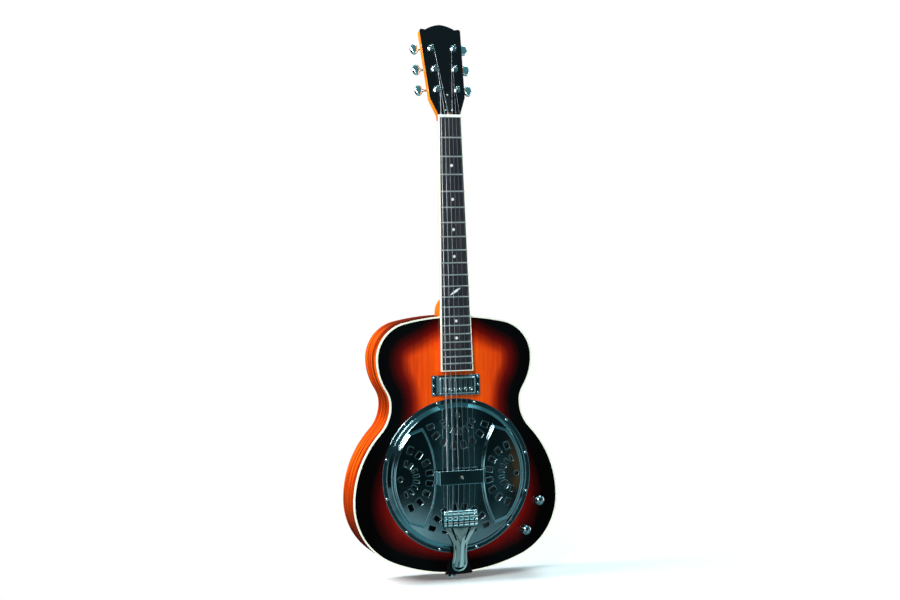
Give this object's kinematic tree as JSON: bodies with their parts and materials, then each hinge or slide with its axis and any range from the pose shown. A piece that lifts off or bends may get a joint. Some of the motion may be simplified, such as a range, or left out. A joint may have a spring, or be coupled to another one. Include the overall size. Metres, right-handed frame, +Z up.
{
  "type": "resonator guitar",
  "caption": "Round-neck resonator guitar with a wooden body, metal cone under a vented coverplate, stamped tailpiece, one pickup and geared tuners.",
  "frame": {"origin": "seat of the tail strap button: centre line, mid depth, under the tail", "axes": "+Z up the neck, -Y out of the soundboard, +X towards the treble side"},
  "size_m": [0.386, 0.1105, 1.0136],
  "materials": {
    "sunburst_top": "gloss sunburst lacquer, vertical grain",
    "mahogany_gloss": "gloss amber-red mahogany",
    "inner_wood": "bare satin",
    "rosewood": "oiled satin",
    "maple": "bare satin",
    "cream_binding": "gloss",
    "nut_white": "satin",
    "pearl": "pearl",
    "black_lacquer": "gloss black",
    "black_plastic": "gloss",
    "plate_chrome": "dark mirror chrome",
    "bright_chrome": "mirror chrome",
    "fret_nickel": "polished nickel silver",
    "cone_aluminium": "spun",
    "black_metal": "satin black",
    "steel": "plain",
    "string_wound": "wound",
    "string_plain": "polished"
  },
  "bodies": {
    "guitar": {"soundboard": "sunburst_top", "side_bass": "mahogany_gloss", "side_treble": "mahogany_gloss", "back_plate": "mahogany_gloss", "neck": "mahogany_gloss", "linings": "inner_wood", "soundwell": "inner_wood", "neck_block": "inner_wood", "tail_block": "inner_wood", "back_braces": "inner_wood", "fingerboard": "rosewood", "saddle": "maple", "top_binding": "cream_binding", "fingerboard_binding": "cream_binding", "nut": "nut_white", "inlays": "pearl", "headstock_veneer": "black_lacquer", "truss_rod_cover": "black_plastic", "pickup_bobbins": "black_plastic", "coverplate": "plate_chrome", "palm_rest": "plate_chrome", "pickup_ring": "plate_chrome", "tailpiece": "bright_chrome", "coverplate_screws": "bright_chrome", "strap_buttons": "bright_chrome", "output_jack": "bright_chrome", "jack_plate": "bright_chrome", "jack_plate_screws": "bright_chrome", "pickup_cover": "bright_chrome", "pickup_pole_screws": "bright_chrome", "pickup_ring_screws": "bright_chrome", "tuner_housings": "bright_chrome", "tuner_bushings": "bright_chrome", "tuner_screws": "bright_chrome", "truss_rod_cover_screws": "bright_chrome", "frets": "fret_nickel", "resonator_cone": "cone_aluminium", "spider_bridge": "cone_aluminium", "tailpiece_bracket": "black_metal", "truss_rod": "steel", "tension_screw": "steel", "pickup_baseplate": "steel", "potentiometers": "steel", "wound_strings": "string_wound", "plain_strings": "string_plain"},
    "button_1": {"tuner_button_1": "bright_chrome"},
    "post_1": {"tuner_post_1": "bright_chrome"},
    "button_2": {"tuner_button_2": "bright_chrome"},
    "post_2": {"tuner_post_2": "bright_chrome"},
    "button_3": {"tuner_button_3": "bright_chrome"},
    "post_3": {"tuner_post_3": "bright_chrome"},
    "button_4": {"tuner_button_4": "bright_chrome"},
    "post_4": {"tuner_post_4": "bright_chrome"},
    "button_5": {"tuner_button_5": "bright_chrome"},
    "post_5": {"tuner_post_5": "bright_chrome"},
    "button_6": {"tuner_button_6": "bright_chrome"},
    "post_6": {"tuner_post_6": "bright_chrome"},
    "volume": {"volume_knob": "bright_chrome"},
    "tone": {"tone_knob": "bright_chrome"}
  },
  "joints": [
    {"name": "tuner_1_button", "type": "hinge", "parent": "guitar", "child": "button_1", "pos_m": [0.0195, 0.00529, 0.87848], "axis": [1, 0, 0], "continuous": true},
    {"name": "tuner_1_post", "type": "hinge", "parent": "guitar", "child": "post_1", "pos_m": [0.0195, -0.01621, 0.87839], "axis": [0, 0.9544, -0.2985], "continuous": true},
    {"name": "tuner_2_button", "type": "hinge", "parent": "guitar", "child": "button_2", "pos_m": [0.0195, 0.01753, 0.91761], "axis": [1, 0, 0], "continuous": true},
    {"name": "tuner_2_post", "type": "hinge", "parent": "guitar", "child": "post_2", "pos_m": [0.0195, -0.00397, 0.91753], "axis": [0, 0.9544, -0.2985], "continuous": true},
    {"name": "tuner_3_button", "type": "hinge", "parent": "guitar", "child": "button_3", "pos_m": [0.0214, 0.02977, 0.95674], "axis": [1, 0, 0], "continuous": true},
    {"name": "tuner_3_post", "type": "hinge", "parent": "guitar", "child": "post_3", "pos_m": [0.0214, 0.00827, 0.95666], "axis": [0, 0.9544, -0.2985], "continuous": true},
    {"name": "tuner_4_button", "type": "hinge", "parent": "guitar", "child": "button_4", "pos_m": [-0.0214, 0.02977, 0.95674], "axis": [1, 0, 0], "continuous": true},
    {"name": "tuner_4_post", "type": "hinge", "parent": "guitar", "child": "post_4", "pos_m": [-0.0214, 0.00827, 0.95666], "axis": [0, 0.9544, -0.2985], "continuous": true},
    {"name": "tuner_5_button", "type": "hinge", "parent": "guitar", "child": "button_5", "pos_m": [-0.0195, 0.01753, 0.91761], "axis": [1, 0, 0], "continuous": true},
    {"name": "tuner_5_post", "type": "hinge", "parent": "guitar", "child": "post_5", "pos_m": [-0.0195, -0.00397, 0.91753], "axis": [0, 0.9544, -0.2985], "continuous": true},
    {"name": "tuner_6_button", "type": "hinge", "parent": "guitar", "child": "button_6", "pos_m": [-0.0195, 0.00529, 0.87848], "axis": [1, 0, 0], "continuous": true},
    {"name": "tuner_6_post", "type": "hinge", "parent": "guitar", "child": "post_6", "pos_m": [-0.0195, -0.01621, 0.87839], "axis": [0, 0.9544, -0.2985], "continuous": true},
    {"name": "volume_turn", "type": "hinge", "parent": "guitar", "child": "volume", "pos_m": [0.1548, -0.041, 0.12555], "axis": [0, 1, 0], "range_deg": [0, 300]},
    {"name": "tone_turn", "type": "hinge", "parent": "guitar", "child": "tone", "pos_m": [0.128, -0.041, 0.07305], "axis": [0, 1, 0], "range_deg": [0, 300]}
  ],
  "couplings": [
    {"joint": "tuner_1_post", "follows": "tuner_1_button", "ratio": -0.071429},
    {"joint": "tuner_2_post", "follows": "tuner_2_button", "ratio": -0.071429},
    {"joint": "tuner_3_post", "follows": "tuner_3_button", "ratio": -0.071429},
    {"joint": "tuner_4_post", "follows": "tuner_4_button", "ratio": -0.071429},
    {"joint": "tuner_5_post", "follows": "tuner_5_button", "ratio": -0.071429},
    {"joint": "tuner_6_post", "follows": "tuner_6_button", "ratio": -0.071429}
  ]
}
